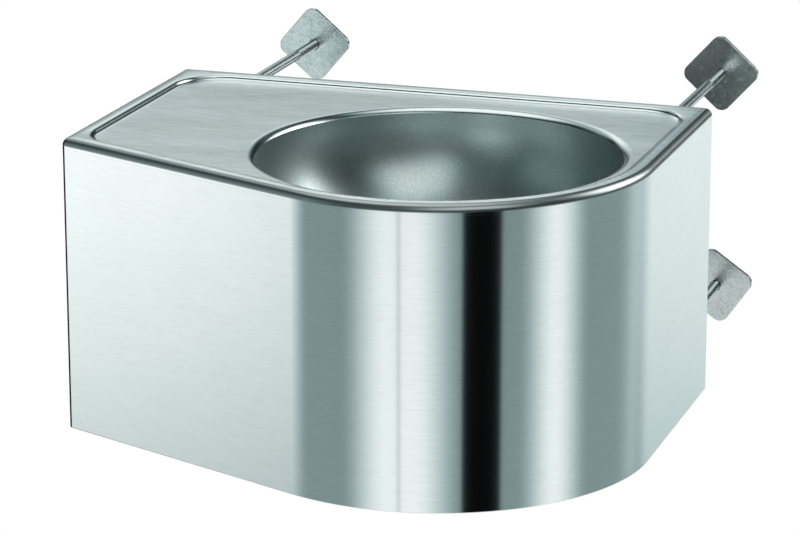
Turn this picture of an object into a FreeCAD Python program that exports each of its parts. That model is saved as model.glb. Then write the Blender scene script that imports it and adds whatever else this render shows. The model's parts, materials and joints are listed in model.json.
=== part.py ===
"""Wall-hung stainless steel washbasin: a round bowl under a pressed deck, a wrap-round apron, four wall
studs with clamp plates, and a waste with a tubular trap. Millimetres, +X right, +Y into the wall, +Z up. The
origin is the centre of the four studs on the face of the wall."""
import FreeCAD, Part
import math
import os
from FreeCAD import Vector

# Body
WIDTH = 540.0
DEPTH = 425.0
HEIGHT = 280.0
LEFT_DEPTH = 300.0
FRONT_RADIUS = 200.0
CORNER_RADIUS = 9.0
SHEET = 1.5
BOTTOM_BEND = 1.2

# Deck
TOP_BEND = 7.0
SKIRT = 10.0
RIM = 17.5
BACK_RIM = 14.5
SHELF_DROP = 4.2
STEP_RADIUS = 2.0
SHELF_CORNER = 46.0
BACK_FLANGE = 16.0

# Bowl
MOUTH_RADIUS = 167.0
ROLL_RADIUS = 10.0
ROLL_TURN = 55.0
BOWL_WALL = 10.5
BOWL_CURVE = 110.0
BOWL_FALL = 6.0
SEAT_RADIUS = 40.0
SEAT_DROP = 5.0
SEAT_FILLET = 1.4
WASTE_HOLE = 22.0

# Back frame
RETURN_WIDTH = 40.0
BOTTOM_RETURN = 26.0
RAIL_WIDTH = 64.0
RAIL_DEPTH = 22.0
RAIL_SHEET = 3.0
RAIL_BEND = 4.0
RAIL_TOP_GAP = 10.0
TIE_LENGTH = 410.0
TIE_HEIGHT = 30.0
TIE_DEPTH = 28.0
TIE_BEND = 3.0

# Wall studs and clamp plates
STUD_SPACING_X = 440.0
STUD_SPACING_Z = 225.0
STUD_ABOVE_UNDERSIDE = 30.0
STUD_RADIUS = 5.0
THREAD_RADIUS = 4.8
THREAD_PLAY = 0.05
STUD_INNER_END = 24.0
STUD_SHANK_END = 195.0
STUD_OUTER_END = 282.0
STUD_POINT = 1.0
STUD_HOLE = 6.5
NUT_FLATS = 17.0
NUT_HEIGHT = 8.0
WASHER_RADIUS = 10.0
WASHER_HOLE = 5.25
WASHER_HEIGHT = 2.0
PLATE_SIDE = 60.0
PLATE_HEIGHT = 5.0
PLATE_CORNER = 10.0
PLATE_HOLE = 6.0
PLATE_EDGE = 0.5
PLATE_FACE = 250.0
PLATE_TURN = {"upper_left": 49.6, "upper_right": 47.9, "lower_left": 41.0, "lower_right": 55.4}

# Bottom panel
PANEL_INSET = 8.0
PANEL_CORNER = 12.0
SCREW_INSET = 16.0
SCREW_RADIUS = 2.5
SCREW_HOLE = 2.75
SCREW_HEAD_RADIUS = 4.75
SCREW_HEAD_HEIGHT = 2.6
SCREW_LENGTH = 9.0
SOCKET_RADIUS = 1.6
SOCKET_DEPTH = 1.4
PANEL_NUT_FLATS = 8.0
PANEL_NUT_HEIGHT = 4.0
HEAD_ROUNDING = 0.7

# Panel screws, as shares of each side's length, and as angles round the front
SCREWS_LEFT = (0.25, 0.75)
SCREWS_SLANT = (0.15, 0.75)
SCREWS_ROUND = (30, 65)
SCREWS_RIGHT = (0.3, 0.8)
SCREWS_BACK = (-0.4, 0.4)

# Waste
FLANGE_RADIUS = 36.0
FLANGE_HEIGHT = 4.0
TAIL_RADIUS = 21.0
WASTE_BORE = 17.5
TAIL_LENGTH = 45.0
STRAINER_RADIUS = 27.0
STRAINER_HEIGHT = 2.0
STRAINER_HOLE = 2.5
STRAINER_RINGS = ((6, 8.6), (12, 14.4))
SPIDER_ARMS = 3
SPIDER_WIDTH = 4.0
SPIDER_HEIGHT = 6.0
SPIDER_HUB = 5.5
STRAINER_SCREW = 2.5
STRAINER_SCREW_HEAD = 4.6
UPPER_GASKET = 2.0
LOWER_GASKET = 3.0
LOWER_GASKET_RADIUS = 32.0
BACKNUT_FLATS = 56.0
BACKNUT_HEIGHT = 10.0

# Trap
PIPE_RADIUS = 16.0
PIPE_WALL = 1.5
U_BEND = 45.0
U_CENTRE = 68.0
COLLAR_RADIUS = 20.0
COLLAR_HEIGHT = 2.5
SEAL_HEIGHT = 2.5
SEAL_BORE = 16.5
INLET_NUT_FLATS = 50.0
SOCKET_OUTSIDE = 19.5
U_SOCKET_END = 86.0
U_SOCKET_LENGTH = 16.0
UNION_COLLAR_RADIUS = 18.8
UNION_NUT_FLATS = 47.0
NUT_LIP = 3.2
NUT_OVERLAP = 14.0
NUT_SLACK = 0.3
OUTLET_RISE = 5.0
OUTLET_BEND = 32.0
OUTLET_END = 70.0

# Derived heights and centres
UNDERSIDE = -STUD_SPACING_Z / 2 - STUD_ABOVE_UNDERSIDE
TOP = UNDERSIDE + HEIGHT
SEAM = TOP - SKIRT
SHELF = TOP - SHELF_DROP
TURN = math.radians(ROLL_TURN)
MOUTH_FOOT = SHELF - ROLL_RADIUS * (1 - math.cos(TURN))
MOUTH_REACH = MOUTH_RADIUS + ROLL_RADIUS * math.sin(TURN)
BOWL_X = WIDTH / 2 - FRONT_RADIUS
BOWL_Y = FRONT_RADIUS - DEPTH
CURVE_X = MOUTH_RADIUS - BOWL_CURVE
CURVE_Z = MOUTH_FOOT - BOWL_WALL
FALL = math.radians(BOWL_FALL)
FOOT_X = CURVE_X + BOWL_CURVE * math.sin(FALL)
FOOT_Z = CURVE_Z - BOWL_CURVE * math.cos(FALL)
SEAT_EDGE = FOOT_Z - (FOOT_X - SEAT_RADIUS) * math.tan(FALL)
SEAT = SEAT_EDGE - SEAT_DROP
TAIL_END = SEAT - TAIL_LENGTH
RAIL_BACK = -SHEET
WEB_FACE = RAIL_BACK - RAIL_SHEET
PANEL_UNDER = UNDERSIDE - SHEET
U_CENTRE_Z = UNDERSIDE + U_CENTRE
U_SOCKET_TOP = UNDERSIDE + U_SOCKET_END
OUTLET_Y = BOWL_Y + 2 * U_BEND
UNION_COLLAR_TOP = U_SOCKET_TOP + SEAL_HEIGHT + COLLAR_HEIGHT
ELBOW_Z = UNION_COLLAR_TOP + OUTLET_RISE
OUTLET_Z = ELBOW_Z + OUTLET_BEND

# The slanted front leaves the left side at LEFT_DEPTH and runs tangent into the round front
SLANT_RUN = WIDTH / 2 + BOWL_X
SLANT_RISE = LEFT_DEPTH + BOWL_Y
SLANT = math.asin(FRONT_RADIUS / math.hypot(SLANT_RUN, SLANT_RISE)) - math.atan2(SLANT_RISE, SLANT_RUN)
FACING = Vector(-math.sin(SLANT), -math.cos(SLANT), 0)

STUDS = {
    "upper_left": (-STUD_SPACING_X / 2, STUD_SPACING_Z / 2),
    "upper_right": (STUD_SPACING_X / 2, STUD_SPACING_Z / 2),
    "lower_left": (-STUD_SPACING_X / 2, -STUD_SPACING_Z / 2),
    "lower_right": (STUD_SPACING_X / 2, -STUD_SPACING_Z / 2),
}
UP = Vector(0, 0, 1)
OUT = Vector(0, 1, 0)
MARGIN = 20.0
TOUCH = 1e-4
NUT_CHAMFER = 30


def box(x0, x1, y0, y1, z0, z1):
    return Part.makeBox(x1 - x0, y1 - y0, z1 - z0, Vector(x0, y0, z0))


def upright(radius, x, y, z0, z1):
    return Part.makeCylinder(radius, z1 - z0, Vector(x, y, z0), UP)


def level(radius, x, z, y0, y1):
    return Part.makeCylinder(radius, y1 - y0, Vector(x, y0, z), OUT)


def on_bowl(radius, z0, z1):
    return upright(radius, BOWL_X, BOWL_Y, z0, z1)


def joined(shapes):
    return shapes[0].multiFuse(shapes[1:]).removeSplitter()


def line(start, end):
    return Part.LineSegment(start, end).toShape()


def arc(start, middle, end):
    return Part.Arc(start, middle, end).toShape()


def arc_about(centre, radius, first, last):
    """Arc in plan from one unit direction to another, the short way round."""
    middle = Vector(first + last).normalize()
    return arc(centre + first * radius, centre + middle * radius, centre + last * radius)


def slanted_corner(inset, radius):
    """Centre of a rounding between the left side and the slanted front."""
    x = -WIDTH / 2 + inset + radius
    off = FRONT_RADIUS - inset - radius
    y = BOWL_Y + (off - (x - BOWL_X) * FACING.x) / FACING.y
    return Vector(x, y, 0)


def plan(inset, back, corner, back_corner=0.0):
    """Plan of the body set in by a distance, with its back edge at y = back."""
    left = -WIDTH / 2 + inset
    right = WIDTH / 2 - inset
    radius = FRONT_RADIUS - inset
    bowl = Vector(BOWL_X, BOWL_Y, 0)
    centre = slanted_corner(inset, corner)
    ahead = Vector(FACING.x + 1, FACING.y, 0).normalize()
    edges = [
        line(Vector(left, back - back_corner, 0), Vector(left, centre.y, 0)),
        arc_about(centre, corner, Vector(-1, 0, 0), FACING),
        line(centre + FACING * corner, bowl + FACING * radius),
        arc(bowl + FACING * radius, bowl + ahead * radius, Vector(right, BOWL_Y, 0)),
        line(Vector(right, BOWL_Y, 0), Vector(right, back - back_corner, 0)),
    ]
    if back_corner:
        turn_right = Vector(right - back_corner, back - back_corner, 0)
        turn_left = Vector(left + back_corner, back - back_corner, 0)
        edges.append(arc_about(turn_right, back_corner, Vector(1, 0, 0), OUT))
        edges.append(line(turn_right + OUT * back_corner, turn_left + OUT * back_corner))
        edges.append(arc_about(turn_left, back_corner, OUT, Vector(-1, 0, 0)))
    else:
        edges.append(line(Vector(right, back, 0), Vector(left, back, 0)))
    return Part.Face(Part.Wire(edges))


def prism(face, z0, z1):
    raised = face.copy()
    raised.translate(Vector(0, 0, z0))
    return raised.extrude(Vector(0, 0, z1 - z0))


def edges_at(shape, z, keep=None):
    """Edges that lie level at a height, all of them or those that pass a test."""
    found = []
    for edge in shape.Edges:
        room = edge.BoundBox
        level_there = abs(room.ZMin - z) < TOUCH and abs(room.ZMax - z) < TOUCH
        if level_there and (keep is None or keep(edge)):
            found.append(edge)
    return found


def revolved(edges, x=BOWL_X, y=BOWL_Y):
    """Solid of revolution about an upright axis, from edges drawn at radius X and height Z."""
    face = Part.Face(Part.Wire(edges))
    face.translate(Vector(x, y, 0))
    return face.revolve(Vector(x, y, 0), UP, 360)


def ring(outer, inner, z0, z1, x=BOWL_X, y=BOWL_Y):
    return upright(outer, x, y, z0, z1).cut(upright(inner, x, y, z0 - MARGIN, z1 + MARGIN))


def rounded_top(inset, top, bend):
    """The deck's outside, or its inside, run on past the wall so that the bend ends square at the back."""
    block = prism(plan(inset, MARGIN, CORNER_RADIUS - inset), SEAM, top)
    return block.makeFillet(bend, edges_at(block, top, lambda edge: edge.BoundBox.YMin < MARGIN - TOUCH))


def shelf_plan(grow):
    """Plan of the shelf, grown outwards by a distance."""
    return plan(RIM - grow, grow - BACK_RIM, SHELF_CORNER + grow, SHELF_CORNER + grow)


def sunk_shelf(grow, drop):
    """The pressed shelf as a block with a rounded foot, grown outwards by a sheet for its underside."""
    block = prism(shelf_plan(grow), SHELF - drop, TOP + MARGIN)
    return block.makeFillet(STEP_RADIUS + drop, edges_at(block, SHELF - drop))


def rolled_mouth():
    """Lip that rolls from the shelf down to the bowl's edge, cut level where the bowl is welded on."""
    centre = Vector(MOUTH_REACH, 0, SHELF - ROLL_RADIUS)
    inner = ROLL_RADIUS - SHEET
    inner_turn = math.acos(ROLL_RADIUS * math.cos(TURN) / inner)

    def roll(radius, turn):
        return [centre + Vector(-math.sin(angle), 0, math.cos(angle)) * radius for angle in (0, turn / 2, turn)]

    outside = roll(ROLL_RADIUS, TURN)
    inside = roll(inner, inner_turn)
    return revolved([
        arc(*outside),
        line(outside[2], inside[2]),
        arc(*reversed(inside)),
        line(inside[0], outside[0]),
    ])


def on_shelf_edge(edge):
    """True where an edge of the top follows the shelf's outline and not the outer bend."""
    middle = edge.valueAt((edge.FirstParameter + edge.LastParameter) / 2)
    spot = Part.Vertex(Vector(middle.x, middle.y, 0))
    return shelf_plan(0.0).OuterWire.distToShape(spot)[0] < SHEET / 2


def deck():
    """Pressed top: an outer bend, a level rim, the sunk shelf, the bowl's rolled mouth and a back flange."""
    outside = rounded_top(0.0, TOP, TOP_BEND)
    inside = rounded_top(SHEET, TOP - SHEET, TOP_BEND - SHEET)
    in_front = box(-WIDTH, WIDTH, -DEPTH - MARGIN, 0, UNDERSIDE, TOP + MARGIN)
    hollow = box(-WIDTH, WIDTH, -DEPTH - MARGIN, -SHEET, UNDERSIDE, TOP + MARGIN)
    skin = outside.common(in_front).cut(inside.common(hollow).cut(sunk_shelf(SHEET, SHEET)))
    skin = skin.cut(sunk_shelf(0.0, 0.0))
    skin = skin.makeFillet(STEP_RADIUS, edges_at(skin, TOP, on_shelf_edge))
    skin = skin.cut(on_bowl(MOUTH_REACH, UNDERSIDE, TOP + MARGIN))
    inner = WIDTH / 2 - SHEET
    flange = box(-inner, inner, -SHEET, 0, TOP - BACK_FLANGE, SEAM)
    return joined([skin, rolled_mouth(), flange])


def bowl():
    """Spun bowl: a short wall, a deep curve, a floor that falls to the waste, and a sunk seat for it."""
    steep = Vector(math.sin(FALL / 2 + math.pi / 4), 0, -math.cos(FALL / 2 + math.pi / 4))

    def wall(off):
        """The bowl's profile, set outwards by a distance, from its mouth to the waste hole."""
        centre = Vector(CURVE_X, 0, CURVE_Z)
        radius = BOWL_CURVE + off
        foot = centre + Vector(math.sin(FALL), 0, -math.cos(FALL)) * radius
        edge_x = SEAT_RADIUS + off
        edge = Vector(edge_x, 0, foot.z - (foot.x - edge_x) * math.tan(FALL))
        mouth_x = MOUTH_RADIUS + off
        points = [Vector(mouth_x, 0, MOUTH_FOOT), Vector(mouth_x, 0, CURVE_Z), foot, edge,
                  Vector(edge_x, 0, SEAT - off), Vector(WASTE_HOLE, 0, SEAT - off)]
        return points, centre + steep * radius

    inner, inner_arc = wall(0.0)
    outer, outer_arc = wall(SHEET)
    edges = []
    for points, middle in ((inner, inner_arc), (outer, outer_arc)):
        edges.append(line(points[0], points[1]))
        edges.append(arc(points[1], middle, points[2]))
        for start, end in zip(points[2:], points[3:]):
            edges.append(line(start, end))
    edges.append(line(inner[0], outer[0]))
    edges.append(line(inner[-1], outer[-1]))
    shell = revolved(Part.__sortEdges__(edges))
    seat_foot = edges_at(shell, SEAT, lambda edge: edge.BoundBox.XLength > 2 * WASTE_HOLE + 1)
    return shell.makeFillet(SEAT_FILLET, edges_at(shell, SEAT_EDGE) + seat_foot)


def screw_spots():
    """Panel screws: along the left side, the slanted front, the round front, the right side and the back."""
    left = -WIDTH / 2 + SCREW_INSET
    right = WIDTH / 2 - SCREW_INSET
    bowl_centre = Vector(BOWL_X, BOWL_Y, 0)
    round_front = FRONT_RADIUS - SCREW_INSET
    start = bowl_centre + FACING * round_front
    along = Vector(-math.cos(SLANT), math.sin(SLANT), 0)
    slant_length = (bowl_centre + FACING * FRONT_RADIUS).sub(Vector(-WIDTH / 2, -LEFT_DEPTH, 0)).Length
    spots = [Vector(left, -LEFT_DEPTH * share, 0) for share in SCREWS_LEFT]
    spots += [start + along * slant_length * share for share in SCREWS_SLANT]
    for turn in SCREWS_ROUND:
        angle = math.radians(turn)
        spots.append(bowl_centre + Vector(math.cos(angle), -math.sin(angle), 0) * round_front)
    spots += [Vector(right, BOWL_Y * share, 0) for share in SCREWS_RIGHT]
    spots += [Vector(TIE_LENGTH * share, -SCREW_INSET, 0) for share in SCREWS_BACK]
    return spots


def screw_holes():
    return Part.makeCompound([upright(SCREW_HOLE, spot.x, spot.y, PANEL_UNDER - MARGIN, UNDERSIDE + MARGIN)
                              for spot in screw_spots()])


def wall_ring():
    """All three walls in one, with their returns along the bottom and along the wall."""
    outside = prism(plan(0.0, 0.0, CORNER_RADIUS), UNDERSIDE, SEAM)
    folds = edges_at(outside, UNDERSIDE, lambda edge: edge.BoundBox.YMin < -1)
    outside = outside.makeFillet(BOTTOM_BEND, folds)
    inside = prism(plan(SHEET, -SHEET, CORNER_RADIUS - SHEET), UNDERSIDE + SHEET, TOP)
    below = prism(plan(BOTTOM_RETURN, MARGIN, CORNER_RADIUS), UNDERSIDE - MARGIN, UNDERSIDE + SHEET)
    gap = WIDTH / 2 - RETURN_WIDTH
    behind = box(-gap, gap, -2 * SHEET, MARGIN, UNDERSIDE - MARGIN, TOP)
    above = box(-WIDTH / 2 + SHEET, WIDTH / 2 - SHEET, -SHEET, MARGIN, TOP - BACK_FLANGE, TOP)
    return outside.cut(inside).cut(below).cut(behind).cut(above).cut(screw_holes())


def left_room():
    seam_y = slanted_corner(0.0, CORNER_RADIUS).y
    return box(-WIDTH / 2 - MARGIN, -WIDTH / 2 + RETURN_WIDTH, seam_y, MARGIN, UNDERSIDE - MARGIN, TOP)


def right_room():
    return box(WIDTH / 2 - RETURN_WIDTH, WIDTH / 2 + MARGIN, BOWL_Y, MARGIN, UNDERSIDE - MARGIN, TOP)


def left_side():
    return wall_ring().common(left_room())


def right_side():
    return wall_ring().common(right_room())


def front_apron():
    return wall_ring().cut(left_room()).cut(right_room())


def bottom_panel():
    sheet = prism(plan(PANEL_INSET, -PANEL_INSET, PANEL_CORNER), PANEL_UNDER, UNDERSIDE)
    return sheet.cut(screw_holes())


def bottom_panel_screws():
    screws = []
    for spot in screw_spots():
        head = upright(SCREW_HEAD_RADIUS, spot.x, spot.y, PANEL_UNDER - SCREW_HEAD_HEIGHT, PANEL_UNDER)
        low = PANEL_UNDER - SCREW_HEAD_HEIGHT
        head = head.makeFillet(SCREW_HEAD_HEIGHT * HEAD_ROUNDING, edges_at(head, low))
        head = head.cut(upright(SOCKET_RADIUS, spot.x, spot.y, low - 1, low + SOCKET_DEPTH))
        shank = upright(SCREW_RADIUS, spot.x, spot.y, PANEL_UNDER, PANEL_UNDER + SCREW_LENGTH)
        screws.append(joined([head, shank]))
    return Part.makeCompound(screws)


def hexagon(flats, height, bore, base, axis):
    """Hexagon nut with chamfered corners, standing on a base point along an axis."""
    corner = flats / math.sqrt(3)
    points = [Vector(corner * math.cos(math.radians(60 * i)), corner * math.sin(math.radians(60 * i)), 0)
              for i in range(7)]
    block = Part.Face(Part.makePolygon(points)).extrude(Vector(0, 0, height))
    slope = corner - flats / 2
    chamfer = slope * math.tan(math.radians(NUT_CHAMFER))
    barrel = Part.makeCylinder(corner, height - 2 * chamfer, Vector(0, 0, chamfer), UP)
    for z, way in ((chamfer, Vector(0, 0, -1)), (height - chamfer, UP)):
        barrel = barrel.fuse(Part.makeCone(corner, flats / 2, chamfer, Vector(0, 0, z), way))
    nut = block.common(barrel)
    nut = nut.cut(Part.makeCylinder(bore, height + 2, Vector(0, 0, -1), UP))
    nut.Placement = FreeCAD.Placement(base, FreeCAD.Rotation(UP, axis))
    return nut


def bottom_panel_nuts():
    return Part.makeCompound([
        hexagon(PANEL_NUT_FLATS, PANEL_NUT_HEIGHT, SCREW_RADIUS + THREAD_PLAY,
                Vector(spot.x, spot.y, UNDERSIDE + SHEET), UP)
        for spot in screw_spots()])


def back_tie_bar():
    """Bent angle along the bottom of the open back."""
    half = TIE_LENGTH / 2
    angle = box(-half, half, -TIE_DEPTH, 0, UNDERSIDE, UNDERSIDE + TIE_HEIGHT)
    angle = angle.makeFillet(TIE_BEND, edges_at(angle, UNDERSIDE, lambda edge: edge.BoundBox.YMin > -1))
    hollow = box(-half - 1, half + 1, -TIE_DEPTH - 1, -SHEET, UNDERSIDE + SHEET, UNDERSIDE + TIE_HEIGHT + 1)
    inner = edges_at(hollow, UNDERSIDE + SHEET, lambda edge: edge.BoundBox.YMin > -SHEET - TOUCH)
    hollow = hollow.makeFillet(TIE_BEND - SHEET, inner)
    return angle.cut(hollow).cut(screw_holes())


def mounting_rail(side):
    """Channel behind the wall return, open towards the front, with a hole for each stud."""
    low = UNDERSIDE + TIE_BEND
    high = TOP - RAIL_TOP_GAP
    middle = side * STUD_SPACING_X / 2
    half = RAIL_WIDTH / 2
    outside = box(middle - half, middle + half, RAIL_BACK - RAIL_DEPTH, RAIL_BACK, low, high)
    outside = outside.makeFillet(RAIL_BEND, upright_edges(outside, RAIL_BACK))
    inside = box(middle - half + RAIL_SHEET, middle + half - RAIL_SHEET, RAIL_BACK - RAIL_DEPTH - 1, WEB_FACE,
                 low - 1, high + 1)
    inside = inside.makeFillet(RAIL_BEND - RAIL_SHEET, upright_edges(inside, WEB_FACE))
    rail = outside.cut(inside)
    for x, z in STUDS.values():
        if x * side > 0:
            rail = rail.cut(level(STUD_HOLE, x, z, RAIL_BACK - RAIL_DEPTH, MARGIN))
    return rail


def upright_edges(shape, y):
    """The tall edges of a rail that lie in one upright plane."""
    return [edge for edge in shape.Edges if edge.BoundBox.ZLength > HEIGHT / 2
            and abs(edge.BoundBox.YMin - y) < TOUCH]


def wall_stud(place):
    """Plain shank with a threaded length at each end, drawn at the thread's own radius."""
    x, z = STUDS[place]
    shank = level(STUD_RADIUS, x, z, WEB_FACE, STUD_SHANK_END)
    inner = level(THREAD_RADIUS, x, z, -STUD_INNER_END, WEB_FACE)
    outer = level(THREAD_RADIUS, x, z, STUD_SHANK_END, STUD_OUTER_END)
    ends = []
    for shape, y in ((inner, -STUD_INNER_END), (outer, STUD_OUTER_END)):
        rim = [edge for edge in shape.Edges
               if abs(edge.BoundBox.YMin - y) < TOUCH and edge.BoundBox.YLength < TOUCH]
        ends.append(shape.makeChamfer(STUD_POINT, rim))
    return joined([ends[0], shank, ends[1]])


def stud_nuts(face):
    """Four nuts on the studs, standing on a plane inside the body."""
    return Part.makeCompound([
        hexagon(NUT_FLATS, NUT_HEIGHT, THREAD_RADIUS + THREAD_PLAY, Vector(x, face, z), OUT * -1)
        for x, z in STUDS.values()])


def wall_plate(place):
    """Square clamp plate with rounded corners, turned on its stud as it hangs."""
    x, z = STUDS[place]
    half = PLATE_SIDE / 2
    plate = box(-half, half, PLATE_FACE, PLATE_FACE + PLATE_HEIGHT, -half, half)
    plate = plate.makeFillet(PLATE_CORNER, [edge for edge in plate.Edges if edge.BoundBox.YLength > 1])
    plate = plate.makeFillet(PLATE_EDGE, [edge for edge in plate.Edges if edge.BoundBox.YLength < TOUCH])
    plate = plate.cut(level(PLATE_HOLE, 0, 0, 0, PLATE_FACE + MARGIN))
    plate.rotate(Vector(0, 0, 0), OUT, -PLATE_TURN[place])
    plate.translate(Vector(x, 0, z))
    return plate


def plate_washer(place):
    x, z = STUDS[place]
    start = PLATE_FACE + PLATE_HEIGHT
    disc = level(WASHER_RADIUS, x, z, start, start + WASHER_HEIGHT)
    return disc.cut(level(WASHER_HOLE, x, z, 0, start + MARGIN))


def plate_nut(place):
    x, z = STUDS[place]
    start = PLATE_FACE + PLATE_HEIGHT + WASHER_HEIGHT
    return hexagon(NUT_FLATS, NUT_HEIGHT, THREAD_RADIUS + THREAD_PLAY, Vector(x, start, z), OUT)


def waste_body():
    """Flanged waste with a threaded tail, a seat for the strainer and three arms that carry its screw."""
    low = SEAT + UPPER_GASKET
    high = low + FLANGE_HEIGHT
    ledge = high - STRAINER_HEIGHT
    flange = on_bowl(FLANGE_RADIUS, low, high)
    flange = flange.makeFillet(FLANGE_HEIGHT / 3, edges_at(flange, high))
    body = flange.fuse(on_bowl(TAIL_RADIUS, TAIL_END, high - FLANGE_HEIGHT / 2))
    body = body.cut(on_bowl(WASTE_BORE, TAIL_END - 1, high + 1))
    body = body.cut(on_bowl(STRAINER_RADIUS + NUT_SLACK, ledge, high + 1))
    arms = [on_bowl(SPIDER_HUB, ledge - SPIDER_HEIGHT, ledge)]
    for i in range(SPIDER_ARMS):
        half = SPIDER_WIDTH / 2
        arm = box(0, WASTE_BORE + 1, -half, half, ledge - SPIDER_HEIGHT, ledge - SPIDER_HEIGHT / 3)
        arm.rotate(Vector(0, 0, 0), UP, 360 / SPIDER_ARMS * i)
        arm.translate(Vector(BOWL_X, BOWL_Y, 0))
        arms.append(arm)
    body = joined([body] + arms)
    return body.cut(on_bowl(STRAINER_SCREW + THREAD_PLAY, TAIL_END, high + 1))


def waste_strainer():
    low = SEAT + UPPER_GASKET + FLANGE_HEIGHT - STRAINER_HEIGHT
    plate = on_bowl(STRAINER_RADIUS, low, low + STRAINER_HEIGHT)
    holes = [on_bowl(STRAINER_SCREW + NUT_SLACK, low - 1, low + MARGIN)]
    for count, radius in STRAINER_RINGS:
        for i in range(count):
            angle = 2 * math.pi * i / count
            holes.append(upright(STRAINER_HOLE, BOWL_X + radius * math.cos(angle),
                                 BOWL_Y + radius * math.sin(angle), low - 1, low + MARGIN))
    return plate.cut(Part.makeCompound(holes))


def strainer_screw():
    seat = SEAT + UPPER_GASKET + FLANGE_HEIGHT
    head = on_bowl(STRAINER_SCREW_HEAD, seat, seat + STRAINER_HEIGHT)
    head = head.makeFillet(STRAINER_HEIGHT * HEAD_ROUNDING, edges_at(head, seat + STRAINER_HEIGHT))
    slot = STRAINER_HEIGHT / 2
    head = head.cut(box(BOWL_X - MARGIN, BOWL_X + MARGIN, BOWL_Y - slot / 2, BOWL_Y + slot / 2, seat + slot,
                        seat + MARGIN))
    shank = on_bowl(STRAINER_SCREW, seat - STRAINER_HEIGHT - SPIDER_HEIGHT, seat)
    return joined([head, shank])


def waste_upper_gasket():
    return ring(FLANGE_RADIUS - 1, TAIL_RADIUS + NUT_SLACK, SEAT, SEAT + UPPER_GASKET)


def waste_lower_gasket():
    top = SEAT - SHEET
    return ring(LOWER_GASKET_RADIUS, TAIL_RADIUS + NUT_SLACK, top - LOWER_GASKET, top)


def waste_backnut():
    base = Vector(BOWL_X, BOWL_Y, SEAT - SHEET - LOWER_GASKET - BACKNUT_HEIGHT)
    return hexagon(BACKNUT_FLATS, BACKNUT_HEIGHT, TAIL_RADIUS + THREAD_PLAY, base, UP)


def trap_inlet_seal():
    return ring(COLLAR_RADIUS, SEAL_BORE, TAIL_END - SEAL_HEIGHT, TAIL_END)


def trap_nut(flats, low, high, bore, y, lip_below):
    """Union nut: a threaded bore, and a lip that pulls a pipe's collar against its seal."""
    nut = hexagon(flats, high - low, PIPE_RADIUS + NUT_SLACK, Vector(BOWL_X, y, low), UP)
    if lip_below:
        return nut.cut(upright(bore, BOWL_X, y, low + NUT_LIP, high + MARGIN))
    return nut.cut(upright(bore, BOWL_X, y, low - MARGIN, high - NUT_LIP))


def trap_inlet_nut():
    low = TAIL_END - SEAL_HEIGHT - COLLAR_HEIGHT - NUT_LIP
    return trap_nut(INLET_NUT_FLATS, low, TAIL_END + NUT_OVERLAP, TAIL_RADIUS + THREAD_PLAY, BOWL_Y, True)


def bent_pipe(start, straight, radius, turn, swing):
    """A straight pipe and the bend that follows it, in the plane of X = BOWL_X."""
    pieces = []
    for size in (PIPE_RADIUS, PIPE_RADIUS - PIPE_WALL):
        run = Part.makeCylinder(size, straight.Length, start, Vector(straight).normalize())
        disc = Part.Face(Part.Wire(Part.makeCircle(size, start + straight, Vector(straight).normalize())))
        bend = disc.revolve(start + straight + Vector(0, radius, 0), Vector(turn, 0, 0), swing)
        pieces.append((run, bend))
    return pieces


def pipe_solid(pieces, more_outside, more_inside):
    outside = joined([pieces[0][0], pieces[0][1]] + more_outside)
    inside = joined([pieces[1][0], pieces[1][1]] + more_inside)
    return outside.cut(inside).removeSplitter()


def trap_u_bend():
    """J-shaped trap tube: a collar under the waste, a half turn, and a threaded socket on the rising leg."""
    top = TAIL_END - SEAL_HEIGHT
    pieces = bent_pipe(Vector(BOWL_X, BOWL_Y, top), Vector(0, 0, U_CENTRE_Z - top), U_BEND, 1, 180)
    collar = on_bowl(COLLAR_RADIUS, top - COLLAR_HEIGHT, top)
    leg = upright(PIPE_RADIUS, BOWL_X, OUTLET_Y, U_CENTRE_Z, U_SOCKET_TOP)
    socket = upright(SOCKET_OUTSIDE, BOWL_X, OUTLET_Y, U_SOCKET_TOP - U_SOCKET_LENGTH, U_SOCKET_TOP)
    bore = upright(PIPE_RADIUS - PIPE_WALL, BOWL_X, OUTLET_Y, U_CENTRE_Z, U_SOCKET_TOP)
    return pipe_solid(pieces, [collar, leg, socket], [bore])


def trap_union_seal():
    return ring(UNION_COLLAR_RADIUS, SEAL_BORE, U_SOCKET_TOP, U_SOCKET_TOP + SEAL_HEIGHT, BOWL_X, OUTLET_Y)


def trap_union_nut():
    low = U_SOCKET_TOP - NUT_OVERLAP
    high = UNION_COLLAR_TOP + NUT_LIP
    return trap_nut(UNION_NUT_FLATS, low, high, SOCKET_OUTSIDE + THREAD_PLAY, OUTLET_Y, False)


def outlet_bend():
    """Wall tube: a collar in the union nut, a quarter turn and a level run through the wall."""
    foot = U_SOCKET_TOP + SEAL_HEIGHT
    pieces = bent_pipe(Vector(BOWL_X, OUTLET_Y, foot), Vector(0, 0, ELBOW_Z - foot), OUTLET_BEND, -1, 90)
    collar = upright(UNION_COLLAR_RADIUS, BOWL_X, OUTLET_Y, foot, foot + COLLAR_HEIGHT)
    run = level(PIPE_RADIUS, BOWL_X, OUTLET_Z, OUTLET_Y + OUTLET_BEND, OUTLET_END)
    bore = level(PIPE_RADIUS - PIPE_WALL, BOWL_X, OUTLET_Z, OUTLET_Y + OUTLET_BEND, OUTLET_END)
    return pipe_solid(pieces, [collar, run], [bore])


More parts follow.
